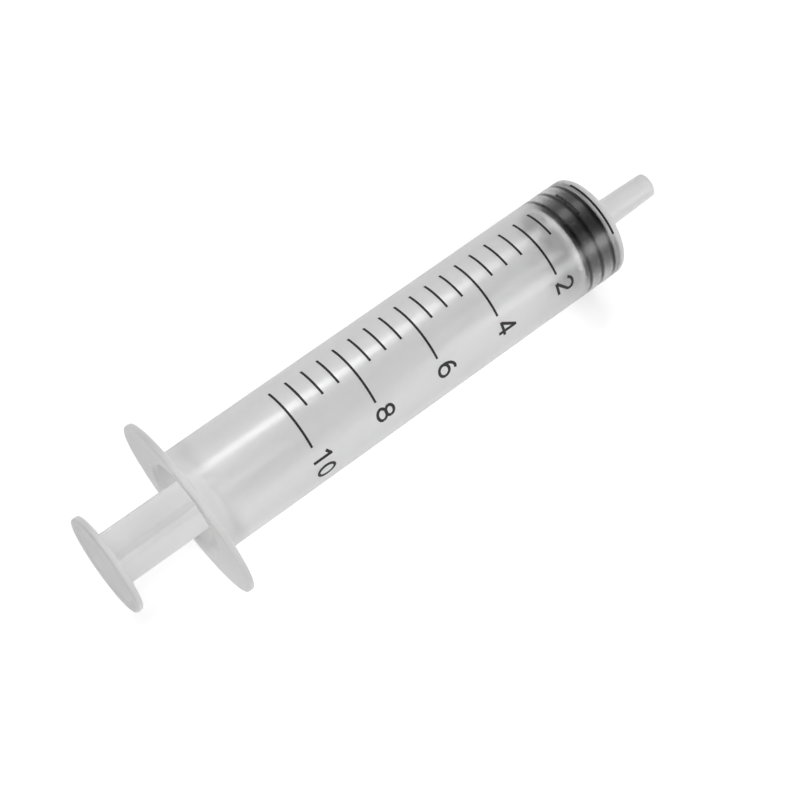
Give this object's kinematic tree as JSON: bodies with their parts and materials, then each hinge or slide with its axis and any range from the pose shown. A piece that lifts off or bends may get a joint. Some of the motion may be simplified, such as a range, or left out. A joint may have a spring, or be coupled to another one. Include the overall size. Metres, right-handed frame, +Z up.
{
  "type": "luer slip syringe",
  "caption": "Disposable 10 mL syringe lying on its side: clear graduated barrel with finger flange and centred slip nozzle, ribbed plunger rod and rubber stopper.",
  "frame": {"origin": "under the middle of the length, on the surface that the finger flange rests on, with the plunger pushed home", "axes": "+X along the barrel towards the nozzle, +Y along the long axis of the flange, +Z up"},
  "size_m": [0.1034, 0.03, 0.0184],
  "materials": {
    "barrel_plastic": "clear natural polypropylene, glossy outside, faint haze",
    "rod_plastic": "translucent natural polypropylene, satin gloss",
    "stopper_rubber": "black moulded rubber, lightly oiled",
    "scale_ink": "black screen-printed ink of the scale on the barrel"
  },
  "bodies": {
    "barrel_body": {"barrel": "barrel_plastic"},
    "stopper_body": {"stopper": "stopper_rubber"},
    "rod_body": {"plunger_rod": "rod_plastic"}
  },
  "joints": [
    {"name": "plunger_slide", "type": "slide", "parent": "barrel_body", "child": "stopper_body", "axis": [-1, 0, 0], "range_m": [0, 0.0655]},
    {"name": "rod_spin", "type": "hinge", "parent": "stopper_body", "child": "rod_body", "pos_m": [0.0345, 0, 0.0092], "axis": [1, 0, 0], "continuous": true}
  ]
}
